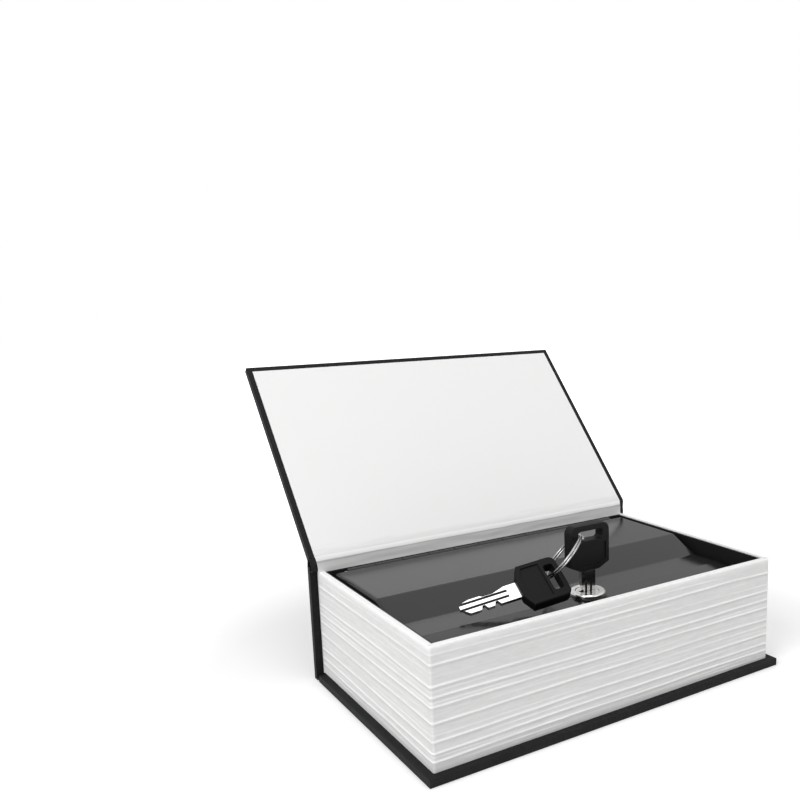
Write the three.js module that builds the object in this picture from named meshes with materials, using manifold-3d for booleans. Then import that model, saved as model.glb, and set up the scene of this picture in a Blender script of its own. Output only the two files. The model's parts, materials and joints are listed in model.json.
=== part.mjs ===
// A book safe: a cloth-covered hardback whose page block is a moulded surround round a locking steel box.
// It lies on its back cover with the front cover open, its two keys on a ring and one of them in the lock.
// Millimetres. X runs along the spine, +Y goes from the fore-edge to the spine, +Z is up.
// The origin is the middle of the back cover's underside.
import * as THREE from "three";
import { mergeVertices } from "three/addons/utils/BufferGeometryUtils.js";
import Module from "manifold-3d";

const wasm = await Module();
wasm.setup();

// The closed book
const bookLength = 180;
const bookDepth = 115;
const bookThickness = 55;
const boardThickness = 2.2;
const clothThickness = 0.5;
const turnInWidth = 12;
const squareWidth = 3;
const glueGap = 0.1;

// The page block: a moulded surround, open through the middle
const coverRestGap = 0.3;
const spineGap = 0.3;
const surroundWall = 2.6;
const surroundCorner = 1.2;
const surroundTopRound = 0.4;
const leafRelief = 0.32;
const leafWave = 0.28;
const leafWaveLength = 62;
const signatureDepths = [6.7, 15.1, 19.6, 23.3, 29.0, 36.2, 40.8, 43.8];

// The cover and its cloth joint
const jointWidth = 6;
const coverMargin = 2.5;
const coverOpening = 132.9;
const coverAxisInset = 3.1;
const coverAxisDrop = 0.8;
const spineTopDrop = 1.6;
const grooveRise = 1.05;
const endpaperThickness = 0.3;
const endpaperRise = 5.9;
const endpaperBuckle = 2.2;
const jointLift = 0.2;
const jointBulge = 0.1;

// The steel box and its floor screws
const boxGap = 0.1;
const boxSteel = 1;
const boxTopDrop = 0.4;
const screwInset = 14;
const screwHeadRadius = 3;
const screwHeadHeight = 1.3;
const screwShankRadius = 1.5;
const screwClearance = 0.1;

// The folded lid
const lidSteel = 1;
const lidEndGap = 1.8;
const lidFrontGap = 1.3;
const lidNoseLength = 21.7;
const lidFlatLength = 15.3;
const lidSlopeLength = 16;
const lidRecess = 6.9;
const lidNoseDrop = 2;
const lidFlange = 4;
const lidFrontFlange = 3.6;
const lidBendRadius = 2.4;

// The lid's hinge
const hingeLength = 150;
const hingeKnuckles = 11;
const knuckleRadius = 1.9;
const knuckleGap = 0.3;
const knuckleSides = 9;
const pinRadius = 0.9;
const pinClearance = 0.12;
const leafThickness = 1;
const leafReach = 11;
const knuckleWallGap = 0.2;

// The cam lock
const lockX = 3;
const lockBehindNose = 0.5;
const lockSides = 32;
const padRadius = 8.6;
const padRise = 0.1;
const padDepth = 2.4;
const bezelRadius = 8;
const bezelHeight = 1.75;
const barrelRadius = 6.5;
const barrelFlat = 5.6;
const barrelLength = 19;
const plugRadius = 5;
const plugClearance = 0.15;
const plugRecess = 0.2;
const plugTail = 2.3;
const washerThickness = 0.6;
const nutThickness = 3;
const nutAcrossFlats = 17;
const threadClearance = 0.15;
const camThickness = 1.2;
const camReach = 19;
const camWidth = 8;
const camSquare = 5;
const camScrewRadius = 1.5;
const camScrewHead = 3.4;
const camScrewHeadHeight = 1.6;

// The catch for the cam on the front wall
const strikeWidth = 34;
const strikeClearance = 0.4;
const strikeShelf = 6.5;
const strikeFoot = 5;
const lidRestGap = 0.3;

// The keys and their ring
const bladeWidth = 7.4;
const bladeThickness = 1.9;
const bladeLength = 26;
const bladeTang = 6;
const bladePoint = 3.2;
const bladeShoulder = 5;
const bladeGrooveInset = 1.8;
const bladeGrooveWidth = 0.8;
const bladeGrooveDepth = 0.55;
const bladeCutDepth = 1.7;
const bladeSlopeLeft = [[5.5, 0], [11, 1], [15.4, 1], [16.6, 0.6], [21.4, 0.6]];
const bladeNotchesRight = [10.8, 16.5];
const bladeNotchWidth = 2.8;
const bladeNotchFloor = 1.1;
const bladePointStart = 22.6;
const keySlotClearance = 0.25;
const bowWidth = 20.6;
const bowHeight = 20;
const bowThickness = 5.2;
const bowCorner = 3;
const bowCutAcross = 5.4;
const bowCutAlong = 2.6;
const bowPanelDepth = 0.6;
const bowPanelInset = 2;
const ringSlotLength = 13;
const ringSlotHeight = 4.4;
const ringSlotInset = 2.3;
const keyStandOff = 9.2;
const ringRadius = 11.4;
const ringWire = 0.9;
const ringTurns = 1.95;
const ringPitch = 1;
const ringStart = 174;

// How the spare key lies on the lid, measured from the middle of the other bow's lower edge, and how the
// ring that joins them lies between the two slots
const spareShift = new THREE.Vector3(-33.77, 1.61, -3.14);
const spareLean = 55.5;
const spareDroop = 8.6;
const spareTurn = 9.8;
const ringShift = new THREE.Vector3(-10.16, 3, 6.89);
const ringTilt = 48.6;
const ringHeading = 146.8;

// Sizes worked out from those above
const halfLength = bookLength / 2;
const halfDepth = bookDepth / 2;
const caseThickness = boardThickness + 2 * clothThickness;
const blockBottom = caseThickness;
const blockTop = bookThickness - caseThickness - coverRestGap;
const blockHalfLength = halfLength - squareWidth;
const blockFront = -halfDepth + squareWidth;
const spineInner = halfDepth - clothThickness - boardThickness;
const blockRear = spineInner - spineGap;
const boxHalfLength = blockHalfLength - surroundWall - boxGap;
const boxFront = blockFront + surroundWall + boxGap;
const boxRear = blockRear - surroundWall - boxGap;
const boxInnerHalfLength = boxHalfLength - boxSteel;
const boxInnerFront = boxFront + boxSteel;
const boxInnerRear = boxRear - boxSteel;
const boxFloor = blockBottom + boxSteel;
const lidTop = blockTop;
const lidLow = lidTop - lidRecess;
const lidFront = boxInnerFront + lidFrontGap;
const lidNoseFold = lidFront + lidNoseLength;
const lidFrontFold = lidNoseFold + lidFlatLength;
const lidRearFold = lidFrontFold + lidSlopeLength;
const lockY = lidNoseFold + lockBehindNose;
const lidHalfLength = boxInnerHalfLength - lidEndGap;
const pinY = boxInnerRear - knuckleWallGap - knuckleRadius;
const pinZ = lidTop - knuckleRadius;
const lidRear = pinY - knuckleRadius - knuckleGap;
const padTop = lidLow + padRise;
const bezelTop = padTop + bezelHeight;
const barrelBottom = bezelTop - barrelLength;
const camTop = barrelBottom - plugTail;
const bowBottom = bezelTop + keyStandOff;
const coverAxisY = halfDepth - coverAxisInset;
const coverAxisZ = bookThickness - coverAxisDrop;
const coverSpineEdge = halfDepth - jointWidth;
const spineTop = bookThickness - spineTopDrop;

// Shared shaping

function solidOf(geometry) {
  const bare = geometry.clone();
  bare.deleteAttribute("normal");
  bare.deleteAttribute("uv");
  const merged = mergeVertices(bare, 1e-4);
  return new wasm.Manifold(
    new wasm.Mesh({
      numProp: 3,
      vertProperties: new Float32Array(merged.attributes.position.array),
      triVerts: new Uint32Array(merged.index.array),
    }),
  );
}

function geometryOf(solid) {
  const mesh = solid.getMesh();
  const geometry = new THREE.BufferGeometry();
  const positions = new Float32Array(mesh.numVert * 3);
  for (let vertex = 0; vertex < mesh.numVert; vertex++) {
    for (let axis = 0; axis < 3; axis++) {
      positions[vertex * 3 + axis] = mesh.vertProperties[vertex * mesh.numProp + axis];
    }
  }
  geometry.setAttribute("position", new THREE.BufferAttribute(positions, 3));
  geometry.setIndex(new THREE.BufferAttribute(new Uint32Array(mesh.triVerts), 1));
  const flat = geometry.toNonIndexed();
  flat.computeVertexNormals();
  return flat;
}

function join(...solids) {
  return solids.reduce((whole, piece) => whole.add(piece));
}

function cut(body, ...tools) {
  return tools.reduce((whole, tool) => whole.subtract(tool), body);
}

function block(x0, x1, y0, y1, z0, z1) {
  const geometry = new THREE.BoxGeometry(x1 - x0, y1 - y0, z1 - z0);
  return solidOf(geometry.translate((x0 + x1) / 2, (y0 + y1) / 2, (z0 + z1) / 2));
}

// A round bar or disc along Z.
function round(radius, z0, z1, x = 0, y = 0, sides = 24) {
  const geometry = new THREE.CylinderGeometry(radius, radius, z1 - z0, sides);
  geometry.rotateX(Math.PI / 2);
  return solidOf(geometry.translate(x, y, (z0 + z1) / 2));
}

// A turned piece about Z from a profile of [radius, height] points that starts and ends on the axis.
function turned(profile, x, y, sides) {
  const points = profile.map(([radius, height]) => new THREE.Vector2(radius, height));
  const geometry = new THREE.LatheGeometry(points, sides).rotateX(Math.PI / 2);
  return solidOf(geometry.translate(x, y, 0));
}

// A shape drawn in XY and raised from z0 to z1.
function raised(shape, z0, z1, curveSegments = 6) {
  const geometry = new THREE.ExtrudeGeometry(shape, {
    depth: z1 - z0,
    bevelEnabled: false,
    curveSegments,
  });
  return solidOf(geometry.translate(0, 0, z0));
}

// A shape drawn with Y across and Z up, drawn out along X.
function alongX(shape, x0, x1, curveSegments = 6) {
  const geometry = new THREE.ExtrudeGeometry(shape, {
    depth: x1 - x0,
    bevelEnabled: false,
    curveSegments,
  });
  const axes = new THREE.Matrix4().makeBasis(
    new THREE.Vector3(0, 1, 0),
    new THREE.Vector3(0, 0, 1),
    new THREE.Vector3(1, 0, 0),
  );
  return solidOf(geometry.applyMatrix4(axes).translate(x0, 0, 0));
}

// Replaces each inner corner of a path with a short bend of the given radius.
function withBends(corners, radius, steps = 3) {
  const path = [corners[0]];
  for (let index = 1; index < corners.length - 1; index++) {
    const corner = corners[index];
    const before = corners[index - 1].clone().sub(corner).normalize();
    const after = corners[index + 1].clone().sub(corner).normalize();
    const half = Math.acos(THREE.MathUtils.clamp(before.dot(after), -1, 1)) / 2;
    const reach = radius / Math.tan(half);
    const start = corner.clone().addScaledVector(before, reach);
    const end = corner.clone().addScaledVector(after, reach);
    const bend = new THREE.QuadraticBezierCurve(start, corner, end);
    path.push(...bend.getPoints(steps));
  }
  path.push(corners[corners.length - 1]);
  return path;
}

// The outline of a sheet of even thickness whose middle follows a path.
function sheetOutline(path, thickness) {
  const sides = [[], []];
  path.forEach((point, index) => {
    const before = path[Math.max(index - 1, 0)];
    const after = path[Math.min(index + 1, path.length - 1)];
    const into = point.clone().sub(before).normalize();
    const out = after.clone().sub(point).normalize();
    const along = into.clone().add(out).normalize();
    const normal = new THREE.Vector2(-along.y, along.x);
    const straight = index === 0 ? out : into;
    const stretch = 1 / Math.max(normal.dot(new THREE.Vector2(-straight.y, straight.x)), 0.2);
    sides[0].push(point.clone().addScaledVector(normal, (thickness / 2) * stretch));
    sides[1].push(point.clone().addScaledVector(normal, (-thickness / 2) * stretch));
  });
  return new THREE.Shape([...sides[0], ...sides[1].reverse()]);
}

function at(y, z) {
  return new THREE.Vector2(y, z);
}

// The skin between stacked rings of points that run anticlockwise seen from above, with both ends closed.
function loft(rings) {
  const count = rings[0].length;
  const points = rings.flat();
  const faces = [];
  for (let level = 0; level < rings.length - 1; level++) {
    for (let step = 0; step < count; step++) {
      const next = (step + 1) % count;
      const a = level * count + step;
      const b = level * count + next;
      faces.push(a, b, b + count, a, b + count, a + count);
    }
  }
  [0, rings.length - 1].forEach((level) => {
    const middle = points.length;
    const centre = new THREE.Vector3();
    rings[level].forEach((point) => centre.addScaledVector(point, 1 / count));
    points.push(centre);
    for (let step = 0; step < count; step++) {
      const a = level * count + step;
      const b = level * count + ((step + 1) % count);
      faces.push(...(level === 0 ? [middle, b, a] : [middle, a, b]));
    }
  });
  const geometry = new THREE.BufferGeometry().setFromPoints(points);
  geometry.setIndex(faces);
  return solidOf(geometry);
}

// Materials, each sub-part with its own

const finishes = {
  cloth: { color: 0x29292b, roughness: 0.62, metalness: 0 },
  greyboard: { color: 0x8c867c, roughness: 0.9, metalness: 0 },
  liningPaper: { color: 0x1f1f20, roughness: 0.8, metalness: 0 },
  paper: { color: 0xefeeeb, roughness: 0.8, metalness: 0 },
  moulding: { color: 0xe4e2dc, roughness: 0.55, metalness: 0 },
  boxPaint: { color: 0x232425, roughness: 0.5, metalness: 0.1 },
  lidPaint: { color: 0x1d1d1e, roughness: 0.2, metalness: 0 },
  nickel: { color: 0xb9b9b7, roughness: 0.25, metalness: 1 },
  steel: { color: 0x9a9a98, roughness: 0.4, metalness: 1 },
  bowPlastic: { color: 0x1b1b1c, roughness: 0.45, metalness: 0 },
};

function part(name, solid, finish) {
  const material = new THREE.MeshStandardMaterial(finishes[finish]);
  material.name = finish;
  const mesh = new THREE.Mesh(geometryOf(solid), material);
  mesh.name = name;
  return mesh;
}

// Book case

const caseInnerX = halfLength - clothThickness;
const boardFront = -halfDepth + clothThickness;
const boardTop = clothThickness + boardThickness;

function screwPlaces() {
  const x = boxInnerHalfLength - screwInset;
  const front = boxInnerFront + screwInset;
  const rear = boxInnerRear - screwInset;
  return [
    [-x, front],
    [x, front],
    [x, rear],
    [-x, rear],
  ];
}

function backBoard() {
  const board = block(-caseInnerX, caseInnerX, boardFront, coverSpineEdge, clothThickness, boardTop);
  const holes = screwPlaces().map(([x, y]) =>
    round(screwShankRadius + screwClearance, clothThickness - 1, boardTop + 1, x, y, 12),
  );
  return cut(board, ...holes);
}

// Cloth under the board, over its three edges and up the spine, pressed into the joint beside the spine.
function backCloth() {
  const half = clothThickness / 2;
  const path = [
    at(boardFront + turnInWidth, boardTop + half),
    at(boardFront - half, boardTop + half),
    at(boardFront - half, half),
    at(coverSpineEdge + 0.2, half),
    at(coverSpineEdge + 1.2, half + grooveRise),
    at(spineInner - 1.4, half + grooveRise),
    at(spineInner - 0.4, half),
    at(halfDepth - half, half),
    at(halfDepth - half, spineTop),
  ];
  const skin = alongX(sheetOutline(path, clothThickness), -halfLength, halfLength);
  const ends = [-1, 1].flatMap((side) => {
    const inner = side * (caseInnerX - turnInWidth);
    const wall = side * caseInnerX;
    const outer = side * halfLength;
    const spineOuter = halfDepth - clothThickness;
    const wide = [Math.min(inner, outer), Math.max(inner, outer)];
    const thin = [Math.min(wall, outer), Math.max(wall, outer)];
    return [
      block(...wide, boardFront, coverSpineEdge, boardTop, caseThickness),
      block(...thin, boardFront - half, coverSpineEdge, half, boardTop + half),
      block(...thin, spineInner, spineOuter + half, half, spineTop),
    ];
  });
  return join(skin, ...ends);
}

function spineBoard() {
  const rear = halfDepth - clothThickness;
  return block(-caseInnerX, caseInnerX, spineInner, rear, clothThickness, spineTop - clothThickness);
}

// Page block

// The outline of the block seen from above, drawn in by an amount that may change along the way.
function blockRing(z, drawIn, waves) {
  const corner = surroundCorner;
  const x = blockHalfLength - corner;
  const y0 = blockFront + corner;
  const y1 = blockRear - corner;
  const sides = [
    { from: [-x, y0], to: [x, y0], facing: -Math.PI / 2, steps: 12 },
    { from: [x, y0], to: [x, y1], facing: 0, steps: 8 },
    { from: [x, y1], to: [-x, y1], facing: Math.PI / 2, steps: 1 },
    { from: [-x, y1], to: [-x, y0], facing: Math.PI, steps: 8 },
  ];
  const ring = [];
  let distance = 0;
  sides.forEach((side) => {
    const plain = side.facing === Math.PI / 2;
    const length = Math.hypot(side.to[0] - side.from[0], side.to[1] - side.from[1]);
    for (let step = 0; step <= side.steps; step++) {
      const share = step / side.steps;
      const atX = side.from[0] + (side.to[0] - side.from[0]) * share;
      const atY = side.from[1] + (side.to[1] - side.from[1]) * share;
      const out = corner - (plain ? 0 : drawIn);
      const phase = ((distance + length * share) / leafWaveLength) * Math.PI * 2 + z;
      const swell = plain ? 0 : waves * Math.sin(phase);
      ring.push(
        new THREE.Vector3(
          atX + out * Math.cos(side.facing),
          atY + out * Math.sin(side.facing),
          z + swell,
        ),
      );
    }
    const turn = side.facing + Math.PI / 4;
    const reach = corner - (plain || side.facing === 0 ? drawIn / 2 : drawIn);
    ring.push(
      new THREE.Vector3(side.to[0] + reach * Math.cos(turn), side.to[1] + reach * Math.sin(turn), z),
    );
    distance += length;
  });
  return ring;
}

// Signatures of leaves: a proud line between each two, and a fainter one inside the thick signatures.
function leafLevels() {
  const levels = [];
  const heights = signatureDepths.map((depth) => blockTop - depth).reverse();
  let below = blockBottom;
  [...heights, blockTop].forEach((height, index) => {
    const thickness = height - below;
    const faint = Math.max(1, Math.round(thickness / 3.2));
    for (let line = 1; line < faint; line++) {
      const z = below + (thickness * line) / faint;
      levels.push([z - 0.4, leafRelief * 0.8], [z, leafRelief * 0.45], [z + 0.3, leafRelief * 0.9]);
    }
    if (height < blockTop) {
      levels.push([height - 0.55, leafRelief * (index % 2 ? 0.8 : 1)]);
      levels.push([height - 0.2, 0], [height + 0.2, 0]);
      levels.push([height + 0.5, leafRelief * (index % 2 ? 1 : 0.8)]);
    }
    below = height;
  });
  return levels;
}

function pageSurround() {
  const rings = [
    blockRing(blockBottom, leafRelief, 0),
    ...leafLevels().map(([z, drawIn]) => blockRing(z, drawIn, leafWave)),
    blockRing(blockTop - surroundTopRound, leafRelief * 0.3, 0),
    blockRing(blockTop, leafRelief * 0.3 + surroundTopRound * 0.8, 0),
  ];
  const inner = blockHalfLength - surroundWall;
  const opening = block(
    -inner,
    inner,
    blockFront + surroundWall,
    blockRear - surroundWall,
    blockBottom - 1,
    blockTop + 1,
  );
  return cut(loft(rings), opening);
}

// Steel box

function boxTray() {
  const top = blockTop - boxTopDrop;
  const outside = block(-boxHalfLength, boxHalfLength, boxFront, boxRear, blockBottom, top);
  const inside = block(
    -boxInnerHalfLength,
    boxInnerHalfLength,
    boxInnerFront,
    boxInnerRear,
    boxFloor,
    top + 1,
  );
  const holes = screwPlaces().map(([x, y]) =>
    round(screwShankRadius + screwClearance, blockBottom - 1, boxFloor + 1, x, y, 12),
  );
  return cut(outside, inside, ...holes);
}

function boxScrew([x, y]) {
  const dome = [
    [0, clothThickness + 0.4],
    [screwShankRadius, clothThickness + 0.9],
    [screwShankRadius, boxFloor],
    [screwHeadRadius, boxFloor],
    [screwHeadRadius, boxFloor + screwHeadHeight * 0.45],
    [screwHeadRadius * 0.72, boxFloor + screwHeadHeight * 0.9],
    [0, boxFloor + screwHeadHeight],
  ];
  const slotHalf = 0.4;
  const slot = block(
    x - screwHeadRadius,
    x + screwHeadRadius,
    y - slotHalf,
    y + slotHalf,
    boxFloor + screwHeadHeight * 0.5,
    boxFloor + screwHeadHeight + 1,
  );
  return cut(turned(dome, x, y, 16), slot);
}

// A folded catch on the front wall: the lid rests on its upper lip and the cam goes under its shelf.
function strikeBracket() {
  const wall = boxInnerFront;
  const half = boxSteel / 2;
  const lip = lidNoseBottom() - lidRestGap;
  const shelf = camTop + strikeClearance;
  const x0 = lockX - strikeWidth / 2;
  const x1 = lockX + strikeWidth / 2;
  const upper = [at(wall + half, shelf + half), at(wall + half, lip - half), at(lidFront + 3, lip - half)];
  const upright = alongX(sheetOutline(withBends(upper, 1), boxSteel), x0, x1);
  const plate = block(x0, x1, wall, wall + boxSteel, shelf - strikeFoot, shelf + boxSteel);
  const ledge = block(x0, x1, wall, wall + strikeShelf, shelf, shelf + boxSteel);
  return join(upright, plate, ledge);
}

// Lid and hinge

function lidNoseBottom() {
  return lidLow - lidNoseDrop - lidSteel - lidFrontFlange + lidSteel;
}

function lidPath() {
  const half = lidSteel / 2;
  const corners = [
    at(lidRear, lidTop - half),
    at(lidRearFold, lidTop - half),
    at(lidFrontFold, lidLow - half),
    at(lidNoseFold, lidLow - half),
    at(lidFront + half, lidLow - lidNoseDrop - half),
    at(lidFront + half, lidNoseBottom()),
  ];
  return withBends(corners, lidBendRadius);
}

// A plate the shape of the lid's fold, as deep as the end flange.
function lidEndOutline() {
  const path = lidPath().slice(0, -1);
  const upper = path.map((point) => at(point.x, point.y));
  const lower = path.map((point) => at(point.x, point.y - lidFlange)).reverse();
  return new THREE.Shape([...upper, ...lower]);
}

// The barrel's section: a round with a flat on each side.
function flatSided(radius, flat, z0, z1) {
  const bar = round(radius, z0, z1, lockX, lockY, lockSides);
  return bar.intersect(block(lockX - radius, lockX + radius, lockY - flat, lockY + flat, z0, z1));
}

function lidShell() {
  const skin = alongX(sheetOutline(lidPath(), lidSteel), -lidHalfLength, lidHalfLength);
  const end = lidHalfLength - lidSteel;
  const flanges = [
    alongX(lidEndOutline(), -lidHalfLength, -end),
    alongX(lidEndOutline(), end, lidHalfLength),
  ];
  const pad = turned(
    [
      [0, padTop - padDepth],
      [padRadius, padTop - padDepth],
      [padRadius, padTop - padRise],
      [padRadius - padRise, padTop],
      [0, padTop],
    ],
    lockX,
    lockY,
    lockSides,
  );
  const clearance = threadClearance;
  const hole = flatSided(
    barrelRadius + clearance,
    barrelFlat + clearance,
    padTop - padDepth - 1,
    padTop + 1,
  );
  const above = block(
    lockX - padRadius - 1,
    lockX + padRadius + 1,
    lockY - padRadius - 1,
    lockY + padRadius + 1,
    padTop,
    padTop + 1,
  );
  return cut(join(skin, ...flanges, pad), hole, above);
}

function knuckleSpans() {
  const pitch = hingeLength / hingeKnuckles;
  return Array.from({ length: hingeKnuckles }, (_, index) => ({
    onLid: index % 2 === 1,
    from: -hingeLength / 2 + pitch * index + knuckleGap / 2,
    to: -hingeLength / 2 + pitch * (index + 1) - knuckleGap / 2,
  }));
}

function barAlongX(radius, x0, x1) {
  const circle = new THREE.Shape().absarc(pinY, pinZ, radius, 0, Math.PI * 2);
  return alongX(circle, x0, x1, knuckleSides);
}

// One leaf of the hinge: its plate, its knuckles, and clear slots where the other leaf's knuckles turn.
function hingeLeaf(onLid, plate) {
  const reach = knuckleRadius + knuckleGap;
  const spans = knuckleSpans();
  const own = spans.filter((span) => span.onLid === onLid);
  const others = spans.filter((span) => span.onLid !== onLid);
  const slots = others.map((span) =>
    block(
      span.from - knuckleGap,
      span.to + knuckleGap,
      pinY - reach,
      pinY + reach,
      pinZ - reach,
      pinZ + reach,
    ),
  );
  const knuckles = own.map((span) => barAlongX(knuckleRadius, span.from, span.to));
  const bore = barAlongX(pinRadius + pinClearance, -hingeLength, hingeLength);
  return cut(join(cut(plate, ...slots), ...knuckles), bore);
}

function boxHingeLeaf() {
  const half = hingeLength / 2;
  const plate = block(
    -half,
    half,
    boxInnerRear - leafThickness,
    boxInnerRear,
    pinZ - leafReach,
    pinZ,
  );
  return hingeLeaf(false, plate);
}

function lidHingeLeaf() {
  const half = hingeLength / 2;
  const under = lidTop - lidSteel;
  const plate = block(-half, half, lidRear - leafReach, pinY, under - leafThickness, under);
  return hingeLeaf(true, plate);
}

function hingePin() {
  const overhang = 1;
  return barAlongX(pinRadius, -hingeLength / 2 - overhang, hingeLength / 2 + overhang);
}

// Lock

function lockBody() {
  const bezel = turned(
    [
      [0, padTop],
      [bezelRadius, padTop],
      [bezelRadius, bezelTop - 0.6],
      [bezelRadius - 0.7, bezelTop],
      [0, bezelTop],
    ],
    lockX,
    lockY,
    lockSides,
  );
  const barrel = flatSided(barrelRadius, barrelFlat, barrelBottom, padTop + 0.1);
  const bore = round(
    plugRadius + plugClearance,
    barrelBottom - 1,
    bezelTop + 1,
    lockX,
    lockY,
    lockSides,
  );
  return cut(join(bezel, barrel), bore);
}

function lockWasher() {
  const top = padTop - padDepth;
  const disc = round(nutAcrossFlats / 2, top - washerThickness, top, lockX, lockY, lockSides);
  const clearance = threadClearance;
  return cut(
    disc,
    flatSided(barrelRadius + clearance, barrelFlat + clearance, top - 2, top + 1),
  );
}

function lockNut() {
  const top = padTop - padDepth - washerThickness;
  const hexRadius = nutAcrossFlats / Math.sqrt(3);
  const hex = round(hexRadius, top - nutThickness, top, lockX, lockY, 6);
  const bore = round(
    barrelRadius + threadClearance,
    top - nutThickness - 1,
    top + 1,
    lockX,
    lockY,
    lockSides,
  );
  return cut(hex, bore);
}

// The turning core: slotted for the blade above, squared for the cam below.
function lockPlug() {
  const top = bezelTop - plugRecess;
  const collar = plugRadius - 0.6;
  const core = join(
    round(plugRadius, barrelBottom, top, lockX, lockY, lockSides),
    round(collar, camTop, barrelBottom, lockX, lockY, lockSides),
  );
  const half = camSquare / 2;
  const tail = block(
    lockX - half,
    lockX + half,
    lockY - half,
    lockY + half,
    camTop - camThickness,
    camTop,
  );
  const slotHalfX = bladeWidth / 2 + keySlotClearance;
  const slotHalfY = bladeThickness / 2 + keySlotClearance;
  const slot = block(
    lockX - slotHalfX,
    lockX + slotHalfX,
    lockY - slotHalfY,
    lockY + slotHalfY,
    bowBottom - bladeLength - 0.6,
    top + 1,
  );
  const thread = round(
    camScrewRadius + threadClearance,
    camTop - camThickness - 1,
    camTop + 1.6,
    lockX,
    lockY,
    12,
  );
  return cut(join(core, tail), slot, thread);
}

function camLever() {
  const radius = camWidth / 2;
  const outline = new THREE.Shape();
  outline.moveTo(lockX, lockY + radius + 1);
  outline.absarc(lockX, lockY, radius + 1, Math.PI / 2, Math.PI * 1.5, false);
  outline.lineTo(lockX + camReach - radius, lockY - radius + 0.8);
  outline.absarc(lockX + camReach - radius, lockY, radius - 0.8, -Math.PI / 2, Math.PI / 2, false);
  outline.closePath();
  const half = camSquare / 2 + threadClearance;
  const hole = block(
    lockX - half,
    lockX + half,
    lockY - half,
    lockY + half,
    camTop - camThickness - 1,
    camTop + 1,
  );
  return cut(raised(outline, camTop - camThickness, camTop), hole);
}

function camScrew() {
  const seat = camTop - camThickness;
  const head = turned(
    [
      [0, seat - camScrewHeadHeight],
      [camScrewHead * 0.7, seat - camScrewHeadHeight],
      [camScrewHead, seat - camScrewHeadHeight * 0.5],
      [camScrewHead, seat],
      [camScrewRadius, seat],
      [camScrewRadius, camTop + 1.2],
      [0, camTop + 1.4],
    ],
    lockX,
    lockY,
    16,
  );
  const slot = block(
    lockX - camScrewHead,
    lockX + camScrewHead,
    lockY - 0.4,
    lockY + 0.4,
    seat - camScrewHeadHeight - 1,
    seat - camScrewHeadHeight * 0.55,
  );
  return cut(head, slot);
}

// Keys, drawn with the blade down along -Z from the bow's lower edge and the bow's face to -Y

// One edge of the blade as [across, along] from its point to the bow, through its cuts.
function bladeEdge(cuts) {
  const half = bladeWidth / 2;
  const filed = cuts.map(([place, share]) => [half - bladeCutDepth * share, -place]);
  return [
    [half - bladeGrooveInset - bladeGrooveWidth, -bladeLength],
    [half - bladeGrooveInset, -bladeLength + bladePoint * 0.45],
    ...filed.reverse(),
    [half, bladeTang],
  ];
}

function bladeOutline() {
  const notches = bladeNotchesRight.flatMap((place) => [
    [place - bladeNotchWidth / 2, 0],
    [place - bladeNotchFloor / 2, 1],
    [place + bladeNotchFloor / 2, 1],
    [place + bladeNotchWidth / 2, 0],
  ]);
  notches.push([bladePointStart, 0]);
  const right = bladeEdge(notches).map(([across, along]) => at(across, along));
  const left = bladeEdge(bladeSlopeLeft).map(([across, along]) => at(-across, along));
  return new THREE.Shape([...right, ...left.reverse()]);
}

function facingFront(solid) {
  return solid.rotate([90, 0, 0]);
}

function keyBlade() {
  const half = bladeThickness / 2;
  const flat = facingFront(raised(bladeOutline(), -half, half));
  const outer = bladeWidth / 2 - bladeGrooveInset;
  const inner = outer - bladeGrooveWidth;
  const grooves = [-1, 1].flatMap((face) =>
    [-1, 1].map((side) =>
      block(
        Math.min(side * outer, side * inner),
        Math.max(side * outer, side * inner),
        face * half - bladeGrooveDepth,
        face * half + bladeGrooveDepth,
        -bladeLength - 1,
        -bladeShoulder,
      ),
    ),
  );
  return cut(flat, ...grooves);
}

// The bow's outline drawn in by an amount: rounded above, with cut corners below.
function bowOutline(drawIn) {
  const half = bowWidth / 2 - drawIn;
  const low = drawIn;
  const high = bowHeight - drawIn;
  const corner = bowCorner - drawIn * 0.6;
  const across = bowCutAcross - drawIn * 0.6;
  const along = bowCutAlong - drawIn * 0.3;
  const outline = new THREE.Shape();
  outline.moveTo(-half + across, low);
  outline.lineTo(half - across, low);
  outline.lineTo(half, low + along);
  outline.lineTo(half, high - corner);
  outline.absarc(half - corner, high - corner, corner, 0, Math.PI / 2, false);
  outline.lineTo(-half + corner, high);
  outline.absarc(-half + corner, high - corner, corner, Math.PI / 2, Math.PI, false);
  outline.lineTo(-half, low + along);
  outline.closePath();
  return outline;
}

function slotOutline() {
  const corner = 1.4;
  const half = ringSlotLength / 2;
  const high = bowHeight - ringSlotInset;
  const low = high - ringSlotHeight;
  const outline = new THREE.Shape();
  outline.moveTo(-half + corner, low);
  outline.absarc(half - corner, low + corner, corner, -Math.PI / 2, 0, false);
  outline.absarc(half - corner, high - corner, corner, 0, Math.PI / 2, false);
  outline.absarc(-half + corner, high - corner, corner, Math.PI / 2, Math.PI, false);
  outline.absarc(-half + corner, low + corner, corner, Math.PI, Math.PI * 1.5, false);
  return outline;
}

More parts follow.
